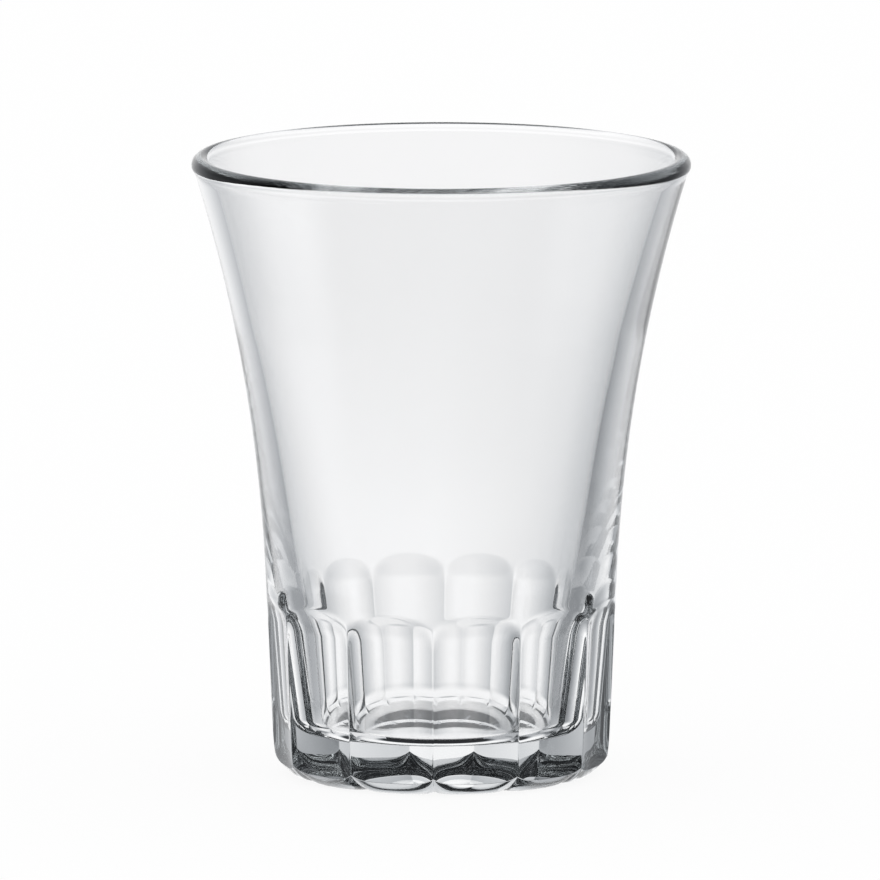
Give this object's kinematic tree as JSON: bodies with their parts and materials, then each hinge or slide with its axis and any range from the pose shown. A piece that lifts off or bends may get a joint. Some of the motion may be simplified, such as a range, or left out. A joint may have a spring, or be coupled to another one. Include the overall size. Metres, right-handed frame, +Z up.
{
  "type": "drinking glass",
  "caption": "Clear pressed-glass tumbler with a flared mouth, a beaded rim, arched flutes round the lower wall and a thick solid base.",
  "frame": {"origin": "middle of the foot, on the plane that the glass stands on", "axes": "+Z up the axis of the glass towards the mouth, one ridge between two flutes faces -Y"},
  "size_m": [0.08, 0.08, 0.1],
  "materials": {
    "clear_glass": "clear pressed glass, fire-polished, very slightly cool in the thick base"
  },
  "bodies": {
    "root": {"base": "clear_glass", "fluted_wall": "clear_glass", "flared_wall": "clear_glass", "rim": "clear_glass"}
  },
  "joints": []
}
